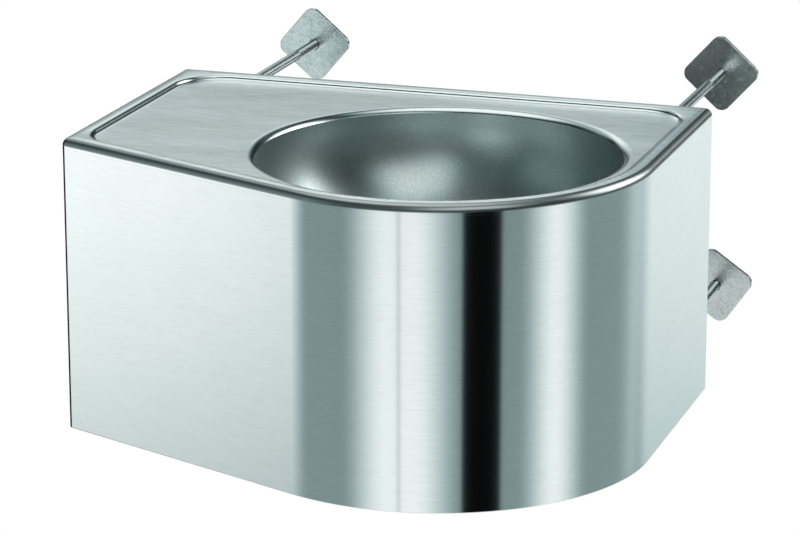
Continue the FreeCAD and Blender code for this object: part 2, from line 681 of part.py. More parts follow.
def nodes():
    """Every sub-part by name."""
    made = {
        "deck": deck(),
        "bowl": bowl(),
        "front_apron": front_apron(),
        "left_side": left_side(),
        "right_side": right_side(),
        "bottom_panel": bottom_panel(),
        "bottom_panel_screws": bottom_panel_screws(),
        "bottom_panel_nuts": bottom_panel_nuts(),
        "back_tie_bar": back_tie_bar(),
        "mounting_rail_left": mounting_rail(-1),
        "mounting_rail_right": mounting_rail(1),
        "stud_weld_nuts": stud_nuts(WEB_FACE),
        "stud_lock_nuts": stud_nuts(WEB_FACE - NUT_HEIGHT),
        "waste_strainer": waste_strainer(),
        "strainer_screw": strainer_screw(),
        "waste_upper_gasket": waste_upper_gasket(),
        "waste_body": waste_body(),
        "waste_lower_gasket": waste_lower_gasket(),
        "waste_backnut": waste_backnut(),
        "trap_inlet_nut": trap_inlet_nut(),
        "trap_inlet_seal": trap_inlet_seal(),
        "trap_u_bend": trap_u_bend(),
        "trap_union_nut": trap_union_nut(),
        "trap_union_seal": trap_union_seal(),
        "outlet_bend": outlet_bend(),
    }
    for place in STUDS:
        made["wall_stud_" + place] = wall_stud(place)
        made["wall_plate_" + place] = wall_plate(place)
        made["plate_washer_" + place] = plate_washer(place)
        made["plate_nut_" + place] = plate_nut(place)
    return made


os.makedirs("parts", exist_ok=True)
for name, shape in nodes().items():
    if not shape.isValid() or not shape.Solids:
        raise ValueError(name + " is not a sound solid")
    shape.exportStep("parts/" + name + ".step")
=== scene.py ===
"""A wall-hung stainless steel washbasin with its wall fixings, built on its CAD frame in a plain studio."""

import json
from math import asin, atan2, cos, hypot, pi, radians, sin
from types import SimpleNamespace

import bmesh
import bpy
from bpy.props import FloatProperty, FloatVectorProperty, IntProperty, PointerProperty
from mathutils import Matrix, Vector


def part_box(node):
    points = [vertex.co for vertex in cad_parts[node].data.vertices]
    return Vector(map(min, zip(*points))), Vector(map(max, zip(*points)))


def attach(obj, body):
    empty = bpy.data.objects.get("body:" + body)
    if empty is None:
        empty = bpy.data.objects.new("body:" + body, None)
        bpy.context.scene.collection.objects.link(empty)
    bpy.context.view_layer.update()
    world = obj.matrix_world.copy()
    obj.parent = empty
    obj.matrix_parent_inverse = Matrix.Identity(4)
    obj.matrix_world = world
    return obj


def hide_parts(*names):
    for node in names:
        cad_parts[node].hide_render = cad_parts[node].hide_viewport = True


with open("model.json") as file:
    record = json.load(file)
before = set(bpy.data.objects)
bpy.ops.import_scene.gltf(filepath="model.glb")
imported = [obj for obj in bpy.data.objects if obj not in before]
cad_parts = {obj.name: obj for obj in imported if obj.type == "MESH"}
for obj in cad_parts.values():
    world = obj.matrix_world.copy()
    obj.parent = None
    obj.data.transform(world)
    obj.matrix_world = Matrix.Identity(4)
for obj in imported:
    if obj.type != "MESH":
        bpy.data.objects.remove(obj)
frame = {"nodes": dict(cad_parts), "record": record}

bl_info = {
    "name": "Wall-hung washbasin",
    "version": (1, 0, 0),
    "blender": (4, 5, 0),
    "location": "3D View > Sidebar > Washbasin",
    "description": "Builds a stainless steel washbasin with its wall fixings and a plain studio",
    "category": "Add Mesh",
}

BODY = "basin"
PLACES = ("upper_left", "upper_right", "lower_left", "lower_right")
UP = Vector((0, 0, 1))
INTO_WALL = Vector((0, 1, 0))

# Points nearer than TINY lie at the same place. Ends of a drawn loop nearer than CLOSING are joined.
TINY = 1e-6
CLOSING = 1e-5

# Steps of the rounded stretches
CORNER_STEPS = 14
FRONT_STEPS = 96
SHELF_CORNER_STEPS = 16
TOP_BEND_STEPS = 10
STEP_BEND_STEPS = 8
FOOT_BEND_STEPS = 4
ROLL_STEPS = 10
BOWL_CURVE_STEPS = 30
STUD_STEPS = 32
THREAD_STEPS = 20

# The deck's finishes by slope: level, bent, upright, and the outer bend, whose dark colour is painted shade
DECK_FINISHES = ("satin_deck", "satin_bend", "satin_wall", "satin_edge_painted_shade")
LEVEL, BENT, UPRIGHT, OUTER_BEND = range(len(DECK_FINISHES))
LEVEL_SLOPE = 0.985
UPRIGHT_SLOPE = 0.05

# The level band kept beside each bend, and how far the deck's blank runs past the wall before it is cut
LEVEL_BAND = 0.0003
PAST_WALL = 0.03
LEAST_CORNER = 0.0005

# The recess for the waste: how far its side leans, and how near to its radius an edge counts as its edge
SEAT_DRAFT = 0.0001
SEAT_NEAR = 0.0005

# The studs: shoulders beside the shank, the core above the thread's root and the ridge's foot below it, the
# shares of the pitch that the crest and half the gap take, and how the ridge runs out
BACK_SHOULDER = 0.0004
FRONT_SHOULDER = 0.0008
CORE_LIFT = 0.00002
FOOT_SINK = 0.0002
CREST_SHARE = 0.12
GAP_SHARE = 0.04
RUN_OUT_TURNS = 2
LEAST_RIDGE = 0.05


def length_property(name, default, description):
    """A size in metres."""
    return FloatProperty(name=name, description=description, default=default, unit="LENGTH")


def angle_property(name, degrees, description):
    """An angle, given in degrees."""
    return FloatProperty(name=name, description=description, default=radians(degrees), subtype="ANGLE")


def colour_property(name, default, description):
    """The base colour of a finish."""
    return FloatVectorProperty(
        name=name, description=description, default=default, subtype="COLOR", min=0, max=1)


class BasinColours(bpy.types.PropertyGroup):
    """Base colours of the finishes."""

    wall: colour_property("Walls", (0.762, 0.782, 0.778), "Satin sheet of the walls")
    deck: colour_property("Deck", (0.755, 0.785, 0.78), "Satin sheet of the deck and its inner bends")
    # Painted shade: the outer bend's colour is far darker than the deck's, although it is the same sheet, to
    # paint in the dark band that it shows.
    edge: colour_property("Outer bend", (0.43, 0.452, 0.448), "Sheet in the bend from the rim to the walls")
    bowl: colour_property("Bowl", (0.60, 0.667, 0.664), "Fine satin of the bowl")
    mill: colour_property("Mill finish", (0.62, 0.635, 0.635), "Sheet inside, rails, tie bar and fasteners")
    stud: colour_property("Studs", (0.66, 0.69, 0.70), "Bright zinc of the studs, their nuts and washers")
    plate: colour_property("Plates", (0.94, 0.985, 0.985), "Dipped zinc of the wall plates")
    waste: colour_property("Waste", (0.70, 0.715, 0.715), "Polished steel of the waste")
    chrome: colour_property("Trap", (0.80, 0.815, 0.83), "Chrome plate of the trap")
    rubber: colour_property("Seals", (0.035, 0.035, 0.036), "Rubber of the seals")


class BasinSheetSizes(bpy.types.PropertyGroup):
    """Sizes of the pressed and folded sheets."""

    sheet: length_property("Sheet", 0.0015, "Thickness of the steel sheet")
    top_bend: length_property("Top bend", 0.007, "Radius of the bend from the rim to the walls")
    corner: length_property("Corner", 0.009, "Radius of the upright corner at the left front")
    rim: length_property("Rim", 0.0175, "Width of the raised rim around the shelf")
    back_rim: length_property("Back rim", 0.0145, "Width of the raised rim along the wall")
    crown: length_property("Crown", 0.0005, "How far the rim's middle stands above its edges")
    shelf_drop: length_property("Shelf drop", 0.0042, "How far the shelf lies below the rim")
    step_lean: length_property("Step lean", 0.0026, "How far the shelf's step leans inwards")
    step_bend: length_property("Step bends", 0.0021, "Length that each bend of the step takes up")
    shelf_corner: length_property("Shelf corners", 0.046, "Plan radius of the shelf's corners")
    flange: length_property("Back flange", 0.016, "Height of the deck's flange on the wall")
    bottom_bend: length_property("Bottom bend", 0.0012, "Radius of the bend under the walls")
    bottom_return: length_property("Bottom return", 0.026, "Width of the walls' return underneath")
    back_return: length_property("Back return", 0.040, "Width of the sides' return on the wall")
    edge: length_property("Edge", 0.00005, "Rounding of the sheet's cut edges")


class BasinBowlSizes(bpy.types.PropertyGroup):
    """Sizes of the spun bowl."""

    roll: length_property("Roll", 0.010, "Radius of the rolled mouth")
    roll_turn: angle_property("Roll turn", 55, "How far the mouth rolls down")
    wall: length_property("Upright wall", 0.0105, "Height of the bowl's upright wall")
    curve: length_property("Curve", 0.110, "Radius of the bowl's wall in section")
    floor_slope: angle_property("Floor slope", 6, "Slope of the bowl's floor to the waste")
    seat: length_property("Seat", 0.040, "Radius of the recess for the waste")
    seat_depth: length_property("Seat depth", 0.005, "Depth of the recess for the waste")
    seat_bend: length_property("Seat bends", 0.0014, "Length that each bend of the recess takes up")
    hole: length_property("Waste hole", 0.022, "Radius of the hole for the waste")
    steps: IntProperty(name="Steps", description="Steps of the bowl's full turn", default=160, min=24)


class BasinStudSizes(bpy.types.PropertyGroup):
    """Sizes of the threaded wall studs."""

    shank: length_property("Shank", 0.005, "Radius of the plain shank")
    crest: length_property("Crest", 0.0048, "Radius over the thread")
    root: length_property("Root", 0.0040, "Radius at the thread's root")
    pitch: length_property("Pitch", 0.0015, "Travel of the thread in one turn")
    shank_back: length_property("Shank starts", -0.0045, "Where the plain shank starts inside the basin")
    shank_front: length_property("Shank ends", 0.195, "Where the plain shank ends in the wall")
    point: length_property("Point", 0.001, "Length of the chamfer on each end")
    edge: length_property("Edge", 0.00003, "Rounding of the stud's sharp edges")


class BasinStageSizes(bpy.types.PropertyGroup):
    """The floor and the camera."""

    rim_height: length_property("Rim height", 0.85, "Height of the rim above the floor")
    floor_radius: length_property("Floor radius", 0.95, "Radius of the floor's disc")
    place: FloatVectorProperty(
        name="Camera place", description="Where the camera stands", default=(0.99602, -3.13915, 0.90918),
        subtype="TRANSLATION")
    lens: FloatProperty(
        name="Lens", description="Focal length of the camera in millimetres", default=156.52, unit="CAMERA")
    pitch: angle_property("Pitch", 73.843, "Tilt of the camera from straight down")
    turn: angle_property("Turn", 18.293, "Turn of the camera about the upright")


def plan_of_frame():
    """The outline seen from above and the levels, read from the CAD boxes."""
    sizes = bpy.context.scene.basin_sheet
    deck_low, deck_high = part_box("deck")
    apron_low, apron_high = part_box("front_apron")
    bowl_low, bowl_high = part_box("bowl")
    bowl = Vector(((bowl_low.x + bowl_high.x) / 2, (bowl_low.y + bowl_high.y) / 2))
    radius = deck_high.x - bowl.x
    left_hub = Vector((deck_low.x + sizes.corner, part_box("left_side")[0].y))
    gap = bowl - left_hub
    slant = asin((radius - sizes.corner) / gap.length) - atan2(gap.y, gap.x)
    return SimpleNamespace(
        half=deck_high.x, radius=radius, bowl=bowl, slant=slant, facing=Vector((-sin(slant), -cos(slant))),
        top=deck_high.z, seam=apron_high.z, underside=apron_low.z, bowl_top=bowl_high.z,
        bowl_foot=bowl_low.z, mouth=(bowl_high.x - bowl_low.x) / 2 - sizes.sheet)


# Drawing with bmesh


def start_at(bm, x, y, z):
    """Draws a first vertex."""
    return bmesh.ops.create_vert(bm, co=(x, y, z))["vert"][0]


def line_to(bm, vert, x, y, z=None):
    """Extrudes a vertex to a new place and returns the new end."""
    end = bmesh.ops.extrude_vert_indiv(bm, verts=[vert])["verts"][0]
    end.co = (x, y, vert.co.z if z is None else z)
    return end


def arc_to(bm, vert, hub, angle, steps, axis=UP):
    """Spins a vertex about an axis and returns the new end."""
    made = bmesh.ops.spin(bm, geom=[vert], cent=hub, axis=axis, angle=angle, steps=steps)
    return next(item for item in made["geom_last"] if isinstance(item, bmesh.types.BMVert))


def body_outline(bm, plan, inset, z, corner, back=0.0, back_corner=0.0, ends=True):
    """Draws the basin's outline, moved in by inset, and returns its edges.

    It is closed at the back. Without ends it is only the front, from the left corner to the end of the round
    front.
    """
    old = set(bm.edges)
    left, right = inset - plan.half, plan.half - inset
    radius = plan.radius - inset
    hub = Vector((left + corner, 0, z))
    hub.y = plan.bowl.y + (radius - corner - (hub.x - plan.bowl.x) * plan.facing.x) / plan.facing.y
    first = vert = start_at(bm, left, back - back_corner if ends else hub.y, z)
    if ends:
        vert = line_to(bm, vert, left, hub.y)
    vert = arc_to(bm, vert, hub, pi / 2 - plan.slant, CORNER_STEPS)
    vert = line_to(bm, vert, *(plan.bowl + plan.facing * radius))
    vert = arc_to(bm, vert, Vector((*plan.bowl, z)), pi / 2 + plan.slant, FRONT_STEPS)
    if ends:
        vert = line_to(bm, vert, right, back - back_corner)
    if ends and not back_corner:
        bmesh.ops.contextual_create(bm, geom=[first, vert])
    if back_corner:
        vert = arc_to(bm, vert, (right - back_corner, back - back_corner, z), pi / 2, SHELF_CORNER_STEPS)
        vert = line_to(bm, vert, left + back_corner, back)
        vert = arc_to(bm, vert, (left + back_corner, back - back_corner, z), pi / 2, SHELF_CORNER_STEPS)
        bmesh.ops.remove_doubles(bm, verts=[first, vert], dist=CLOSING)
    return [edge for edge in bm.edges if edge not in old]


def everything(bm):
    """All that is drawn so far."""
    return bm.verts[:] + bm.edges[:] + bm.faces[:]


def extrude(bm, edges, shift):
    """Draws faces from edges in one direction."""
    made = bmesh.ops.extrude_edge_only(bm, edges=edges)["geom"]
    bmesh.ops.translate(bm, verts=[item for item in made if isinstance(item, bmesh.types.BMVert)], vec=shift)


def inset_face(bm, face, width):
    """Draws a band of even width inside a face's edge."""
    bmesh.ops.inset_region(bm, faces=[face], thickness=width, use_even_offset=True, use_boundary=True)


def bridge(bm, *chains):
    """Joins neighbouring chains of edges with faces."""
    for one, other in zip(chains, chains[1:]):
        bmesh.ops.bridge_loops(bm, edges=one + other)


def round_off(bm, edges, radius, segments):
    """Rounds edges."""
    bmesh.ops.bevel(bm, geom=edges, offset=radius, offset_type="OFFSET", affect="EDGES", segments=segments,
                    profile=0.5, material=-1, clamp_overlap=False)


def rims_at(bm, z):
    """The free edges that lie at one level."""
    return [edge for edge in bm.edges if len(edge.link_faces) < 2
            and all(abs(vert.co.z - z) < TINY for vert in edge.verts)]


def edges_on_wall(bm):
    """The edges that lie on the face of the wall."""
    return [edge for edge in bm.edges if all(abs(vert.co.y) < TINY for vert in edge.verts)]


def in_front_of(edges, y):
    """Those edges that reach further to the front than y."""
    return [edge for edge in edges if min(vert.co.y for vert in edge.verts) < y - TINY]


def fill_between(bm, edges):
    """Fills the area between closed chains of edges, as seen from above."""
    bmesh.ops.triangle_fill(bm, edges=edges, use_beauty=True, use_dissolve=False, normal=UP)


def spin_round(bm, hub, axis, steps):
    """Spins everything drawn so far one full turn."""
    bmesh.ops.spin(bm, geom=bm.verts[:] + bm.edges[:], cent=hub, axis=axis, angle=2 * pi, steps=steps,
                   use_merge=True)


def merge(bm, other):
    """Adds another drawn mesh to this one and frees it."""
    mesh = bpy.data.meshes.new("merged")
    other.to_mesh(mesh)
    other.free()
    bm.from_mesh(mesh)
    bpy.data.meshes.remove(mesh)


def face_up(bm):
    """Turns all faces the same way, with the highest level one facing up."""
    bmesh.ops.recalc_face_normals(bm, faces=bm.faces[:])
    level = [face for face in bm.faces if abs(face.normal.z) > LEVEL_SLOPE]
    if max(level, key=lambda face: face.calc_center_median().z).normal.z < 0:
        bmesh.ops.reverse_faces(bm, faces=bm.faces[:])


def face_away(bm, centre):
    """Turns all faces the same way, with the largest wall facing away from an upright axis."""
    bmesh.ops.recalc_face_normals(bm, faces=bm.faces[:])
    wall = max(bm.faces, key=lambda face: face.calc_area() * (1 - abs(face.normal.z)))
    away = wall.calc_center_median() - Vector((*centre, 0))
    away.z = 0
    if wall.normal.dot(away) < 0:
        bmesh.ops.reverse_faces(bm, faces=bm.faces[:])


def finish_piece(bm, name, material, slot, body, *nodes):
    """Makes an object from a drawn mesh, smooth all over, on its body and in place of its CAD nodes."""
    mesh = bpy.data.meshes.new(name)
    bm.to_mesh(mesh)
    bm.free()
    mesh.shade_smooth()
    mesh.materials.append(material)
    piece = bpy.data.objects.new(name, mesh)
    bpy.context.scene.collection.objects.link(piece)
    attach(piece, body)
    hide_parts(*nodes)
    return piece


def thicken(piece, thickness):
    """Gives a sheet its thickness on the inside, where it keeps the mill's finish."""
    piece.data.materials.append(bpy.data.materials["mill_steel"])
    sheet = piece.modifiers.new("Sheet", "SOLIDIFY")
    sheet.material_offset = len(piece.data.materials)
    sheet.thickness = thickness
    sheet.offset = -1
    sheet.use_even_offset = True


def soften(piece, width):
    """Rounds a piece's sharp edges and keeps its flat faces flat in shading."""
    edge = piece.modifiers.new("Cut edges", "BEVEL")
    edge.width = width
    edge.segments = 2
    edge.limit_method = "ANGLE"
    edge.angle_limit = radians(50)
    weights = piece.modifiers.new("Flat faces", "WEIGHTED_NORMAL")
    weights.weight = 100
    weights.keep_sharp = True


# Shader nodes


def add(tree, kind, inputs=None, **settings):
    """Adds a node, sets its options and fills or links its inputs."""
    made = tree.nodes.new(kind)
    for option, value in settings.items():
        setattr(made, option, value)
    for socket, value in (inputs or {}).items():
        if isinstance(value, bpy.types.NodeSocket):
            tree.links.new(value, made.inputs[socket])
        else:
            made.inputs[socket].default_value = value
    return made


def calc(tree, operation, *values):
    """One sum of the shader's arithmetic."""
    return add(tree, "ShaderNodeMath", dict(enumerate(values)), operation=operation).outputs[0]


def product(tree, *values):
    """Several values multiplied."""
    total = values[0]
    for value in values[1:]:
        total = calc(tree, "MULTIPLY", total, value)
    return total


def remap(tree, value, from_min, from_max, to_min=0.0, to_max=1.0, smooth=False):
    """Maps a range of values to another and holds it at the ends."""
    inputs = {"Value": value, "From Min": from_min, "From Max": from_max, "To Min": to_min, "To Max": to_max}
    kind = "SMOOTHSTEP" if smooth else "LINEAR"
    return add(tree, "ShaderNodeMapRange", inputs, interpolation_type=kind).outputs[0]


def noise(tree, place, scale, detail, **more):
    """Cloudy noise."""
    inputs = {"Vector": place, "Scale": scale, "Detail": detail, **more}
    return add(tree, "ShaderNodeTexNoise", inputs).outputs[0]


def vector_sum(tree, operation, *values):
    """The outputs of one sum with vectors."""
    return add(tree, "ShaderNodeVectorMath", dict(enumerate(values)), operation=operation).outputs


def scaled(tree, vector, level):
    """A vector or colour times a value."""
    return add(tree, "ShaderNodeVectorMath", {0: vector, "Scale": level}, operation="SCALE").outputs[0]


def new_group(name, inputs, outputs):
    """Starts a node group and returns it with its input and output sockets."""
    group = bpy.data.node_groups.new(name, "ShaderNodeTree")
    for socket, default in inputs.items():
        kind = "NodeSocketVector" if default is None else "NodeSocketFloat"
        made = group.interface.new_socket(name=socket, in_out="INPUT", socket_type=kind)
        if default is not None:
            made.default_value = default
    for socket in outputs:
        group.interface.new_socket(name=socket, in_out="OUTPUT", socket_type="NodeSocketFloat")
    return group, group.nodes.new("NodeGroupInput").outputs, group.nodes.new("NodeGroupOutput").inputs


def use_group(tree, group, place, **inputs):
    """Places a node group in a tree and returns its outputs."""
    return add(tree, "ShaderNodeGroup", {"Vector": place, **inputs}, node_tree=group).outputs


def swing(group, result, texture, contrast, shade, roughness):
    """Links a shade and a roughness factor that swing about one with a texture."""
    turn = product(group, calc(group, "SUBTRACT", texture, 0.5), contrast)
    group.links.new(calc(group, "MULTIPLY_ADD", turn, shade, 1.0), result["Shade"])
    group.links.new(calc(group, "MULTIPLY_ADD", turn, -roughness, 1.0), result["Roughness"])


def brushed_grain():
    """Fine uneven lines of a belt finish, on coordinates that are already stretched along the lines."""
    group, given, result = new_group("brushed_grain", {"Vector": None, "Contrast": 1.0},
                                     ("Shade", "Roughness", "Height"))
    fine = noise(group, given["Vector"], 1.0, 2.0)
    broad = noise(group, given["Vector"], 0.16, 2.0)
    both = calc(group, "ADD", product(group, fine, 0.75), product(group, broad, 0.25))
    swing(group, result, both, given["Contrast"], shade=0.14, roughness=0.35)
    group.links.new(both, result["Height"])
    return group


def handling_marks():
    """Faint cloudy areas where a wiped sheet is a little duller."""
    group, given, result = new_group("handling_marks", {"Vector": None, "Scale": 14.0, "Contrast": 1.0},
                                     ("Shade", "Roughness"))
    cloud = noise(group, given["Vector"], given["Scale"], 4.0, Roughness=0.62, Distortion=0.4)
    swing(group, result, cloud, given["Contrast"], shade=0.085, roughness=0.23)
    return group


def fine_speckle():
    """Small grains, bright or dark, of a blasted or hot-dipped surface."""
    group, given, result = new_group("fine_speckle", {"Vector": None, "Scale": 900.0, "Share": 0.3},
                                     ("Mask", "Height"))
    grain = noise(group, given["Vector"], given["Scale"], 1.0, Roughness=0.6)
    edge = calc(group, "SUBTRACT", 0.72, product(group, given["Share"], 0.4))
    group.links.new(remap(group, grain, edge, calc(group, "ADD", edge, 0.1)), result["Mask"])
    group.links.new(grain, result["Height"])
    return group


def start_material(name):
    """A material with its principled shader and object coordinates."""
    material = bpy.data.materials.new(name)
    material.use_nodes = True
    tree = material.node_tree
    tree.nodes.clear()
    shader = add(tree, "ShaderNodeBsdfPrincipled")
    add(tree, "ShaderNodeOutputMaterial", {"Surface": shader.outputs[0]})
    place = add(tree, "ShaderNodeTexCoord").outputs["Object"]
    return material, tree, shader, place


def stretched(tree, place, x, y, z):
    """Object coordinates scaled by so many cells a metre on each axis."""
    return add(tree, "ShaderNodeMapping", {"Vector": place, "Scale": (x, y, z)}).outputs[0]


def from_bowl_axis(tree, place, plan):
    """Object coordinates and distance from the point where the bowl's axis crosses the origin's level."""
    centred = vector_sum(tree, "SUBTRACT", place, (plan.bowl.x, plan.bowl.y, 0.0))[0]
    return centred, vector_sum(tree, "LENGTH", centred)["Value"]


def tint(tree, colour, *shades):
    """A colour darkened or lightened by some shades."""
    return scaled(tree, tuple(colour), product(tree, *shades))


def coat(tree, shader, colour, roughness):
    """Links the varying colour and roughness of a finish."""
    tree.links.new(colour, shader.inputs["Base Color"])
    tree.links.new(roughness, shader.inputs["Roughness"])


def metal(tree, shader, colour, roughness):
    """Makes the principled shader a bare metal."""
    coat(tree, shader, colour, roughness)
    shader.inputs["Metallic"].default_value = 1.0


def emboss(tree, shader, height, depth, strength):
    """Gives a finish its relief."""
    bump = add(tree, "ShaderNodeBump", {"Height": height, "Distance": depth, "Strength": strength})
    tree.links.new(bump.outputs[0], shader.inputs["Normal"])


def along(tree, shader, tangent, amount):
    """Stretches the reflections along a direction."""
    shader.inputs["Anisotropic"].default_value = amount
    tree.links.new(tangent, shader.inputs["Tangent"])


# Finishes


def wall_steel(groups, colour):
    """Satin sheet, brushed level all the way round."""
    material, tree, shader, place = start_material("satin_wall")
    grain = use_group(tree, groups.grain, stretched(tree, place, 9, 9, 1500), Contrast=0.4)
    streaks = use_group(tree, groups.grain, stretched(tree, place, 80, 80, 800), Contrast=1.2)
    marks = use_group(tree, groups.marks, place, Contrast=0.4)
    metal(tree, shader, tint(tree, colour, grain["Shade"], streaks["Shade"], marks["Shade"]),
          product(tree, grain["Roughness"], marks["Roughness"], 0.144))
    emboss(tree, shader, grain["Height"], depth=0.00001, strength=0.1)
    along(tree, shader, add(tree, "ShaderNodeCombineXYZ", {"Z": 1.0}).outputs[0], 0.79)
    return material


def deck_steel(groups, colour):
    """Satin sheet, brushed from side to side and a little cloudy."""
    material, tree, shader, place = start_material("satin_deck")
    grain = use_group(tree, groups.grain, stretched(tree, place, 9, 1500, 1500))
    streaks = use_group(tree, groups.grain, stretched(tree, place, 45, 330, 330), Contrast=5.0)
    marks = use_group(tree, groups.marks, stretched(tree, place, 0.5, 1.4, 1.4), Scale=7.0, Contrast=11.0)
    metal(tree, shader, tint(tree, colour, grain["Shade"], streaks["Shade"], marks["Shade"]),
          product(tree, grain["Roughness"], 0.2))
    emboss(tree, shader, calc(tree, "ADD", grain["Height"], streaks["Height"]), depth=0.00002, strength=0.3)
    along(tree, shader, add(tree, "ShaderNodeCombineXYZ", {"Y": 1.0}).outputs[0], 0.75)
    return material


def bend_steel(groups, name, colour, roughness):
    """The same sheet where a tool drew it over a bend, with no grain."""
    material, tree, shader, place = start_material(name)
    marks = use_group(tree, groups.marks, place, Scale=24.0)
    metal(tree, shader, tint(tree, colour, marks["Shade"]), product(tree, marks["Roughness"], roughness))
    return material


def bowl_steel(groups, colour, plan):
    """Fine satin inside the bowl, brushed around it."""
    material, tree, shader, place = start_material("satin_bowl")
    centred, reach = from_bowl_axis(tree, place, plan)
    apart = add(tree, "ShaderNodeSeparateXYZ", {0: centred}).outputs
    turn = calc(tree, "ARCTAN2", apart["Y"], apart["X"])
    rings = add(tree, "ShaderNodeCombineXYZ", {
        "X": product(tree, turn, 4.0),
        "Y": product(tree, reach, 1100.0),
        "Z": product(tree, apart["Z"], 1100.0)})
    grain = use_group(tree, groups.grain, rings.outputs[0], Contrast=0.3)
    marks = use_group(tree, groups.marks, place, Scale=30.0, Contrast=0.3)
    speck = use_group(tree, groups.speckle, place, Scale=700.0, Share=0.5)
    sparkle = calc(tree, "ADD", 0.91, product(tree, speck["Mask"], 0.18))
    metal(tree, shader, tint(tree, colour, grain["Shade"], marks["Shade"], sparkle),
          product(tree, grain["Roughness"], marks["Roughness"], 0.31))
    tangent = add(tree, "ShaderNodeCombineXYZ", {"X": product(tree, apart["Y"], -1.0), "Y": apart["X"]})
    shader.inputs["Anisotropic Rotation"].default_value = 0.25
    along(tree, shader, tangent.outputs[0], 0.2)
    return material


def mill_steel(groups, colour):
    """Rolled bar, folded channel and the inside of the sheet, not polished."""
    material, tree, shader, place = start_material("mill_steel")
    grain = use_group(tree, groups.grain, stretched(tree, place, 700, 700, 12))
    marks = use_group(tree, groups.marks, place, Scale=40.0)
    metal(tree, shader, tint(tree, colour, grain["Shade"], marks["Shade"]),
          product(tree, grain["Roughness"], marks["Roughness"], 0.38))
    emboss(tree, shader, grain["Height"], depth=0.00002, strength=0.5)
    return material


def stud_zinc(groups, colour):
    """Bright zinc on drawn bar, with fine lines along the bar."""
    material, tree, shader, place = start_material("bright_zinc")
    grain = use_group(tree, groups.grain, stretched(tree, place, 1400, 14, 1400))
    marks = use_group(tree, groups.marks, place, Scale=60.0)
    metal(tree, shader, tint(tree, colour, grain["Shade"], marks["Shade"]),
          product(tree, grain["Roughness"], marks["Roughness"], 0.27))
    emboss(tree, shader, grain["Height"], depth=0.00001, strength=0.4)
    return material


def plate_zinc(groups, colour):
    """Hot-dipped zinc with soft spangle and fine dark specks, and painted shade that darkens the lower
    plates.
    """
    material, tree, shader, place = start_material("dipped_zinc")
    spangle = add(tree, "ShaderNodeTexVoronoi", {"Vector": place, "Scale": 260.0}, feature="SMOOTH_F1")
    flower = add(tree, "ShaderNodeSeparateColor", {0: spangle.outputs["Color"]}).outputs[0]
    marks = use_group(tree, groups.marks, place, Scale=70.0)
    speck = use_group(tree, groups.speckle, place, Scale=750.0, Share=0.42)
    # Painted shade: the colour grows darker from the upper plates to the lower ones, in place of the darker
    # reflections that they show.
    height = add(tree, "ShaderNodeSeparateXYZ", {0: place}).outputs["Z"]
    painted_shade_by_height = remap(tree, height, -0.06, 0.06, 0.605, 1.0)
    shade = calc(tree, "SUBTRACT", remap(tree, flower, 0.0, 1.0, 0.93, 1.05),
                 product(tree, speck["Mask"], 0.28))
    metal(tree, shader, tint(tree, colour, shade, marks["Shade"], painted_shade_by_height),
          product(tree, remap(tree, flower, 0.0, 1.0, 0.2, 0.3), marks["Roughness"]))
    emboss(tree, shader, speck["Height"], depth=0.00004, strength=0.5)
    return material


def screw_steel(groups, colour):
    """Plain bright fasteners."""
    material, tree, shader, place = start_material("fastener_steel")
    marks = use_group(tree, groups.marks, place, Scale=160.0)
    speck = use_group(tree, groups.speckle, place, Scale=1200.0, Share=0.2)
    metal(tree, shader, tint(tree, colour, marks["Shade"]), product(tree, marks["Roughness"], 0.3))
    emboss(tree, shader, speck["Height"], depth=0.00002, strength=0.3)
    return material


def waste_steel(groups, colour, plan):
    """Polished waste with fine turned rings."""
    material, tree, shader, place = start_material("polished_waste")
    reach = from_bowl_axis(tree, place, plan)[1]
    rings = add(tree, "ShaderNodeCombineXYZ", {"X": product(tree, reach, 1600.0)}).outputs[0]
    grain = use_group(tree, groups.grain, rings)
    marks = use_group(tree, groups.marks, place, Scale=90.0)
    metal(tree, shader, tint(tree, colour, grain["Shade"], marks["Shade"]),
          product(tree, grain["Roughness"], marks["Roughness"], 0.16))
    emboss(tree, shader, grain["Height"], depth=0.00001, strength=0.2)
    return material


def trap_chrome(groups, colour):
    """Chrome plate with faint waviness and wiping marks."""
    material, tree, shader, place = start_material("trap_chrome")
    marks = use_group(tree, groups.marks, place, Scale=55.0)
    metal(tree, shader, tint(tree, colour, marks["Shade"]), product(tree, marks["Roughness"], 0.09))
    emboss(tree, shader, marks["Shade"], depth=0.0002, strength=0.1)
    return material


def seal_rubber(groups, colour):
    """Matt black rubber with a fine grain."""
    material, tree, shader, place = start_material("seal_rubber")
    marks = use_group(tree, groups.marks, place, Scale=80.0)
    speck = use_group(tree, groups.speckle, place, Scale=1500.0, Share=0.3)
    coat(tree, shader, tint(tree, colour, marks["Shade"]), product(tree, marks["Roughness"], 0.62))
    emboss(tree, shader, speck["Height"], depth=0.00003, strength=0.5)
    return material


# Pieces


def press_edge(bm, plan, sizes, rim):
    """The deck's outer bend and skirt, drawn past the wall and cut off at it."""
    outline = body_outline(bm, plan, 0.0, rim, sizes.corner, PAST_WALL)
    sheet = bmesh.ops.contextual_create(bm, geom=outline)["faces"][0]
    inset_face(bm, sheet, sizes.top_bend + LEVEL_BAND)
    outline = [edge for edge in bm.edges if edge.is_boundary]
    bmesh.ops.delete(bm, geom=[sheet], context="FACES_ONLY")
    extrude(bm, outline, (0, 0, plan.seam - rim))
    round_off(bm, in_front_of(outline, PAST_WALL), sizes.top_bend, TOP_BEND_STEPS)
    bmesh.ops.bisect_plane(bm, geom=everything(bm), plane_co=(0, 0, 0), plane_no=INTO_WALL, clear_outer=True)
    bm.normal_update()
    for face in bm.faces:
        face.material_index = OUTER_BEND if UPRIGHT_SLOPE < abs(face.normal.z) < LEVEL_SLOPE else LEVEL
    ends = [vert for vert in bm.verts if abs(vert.co.y) < TINY]
    ends.sort(key=lambda vert: abs(vert.co.x))
    bmesh.ops.contextual_create(bm, geom=ends[:2])


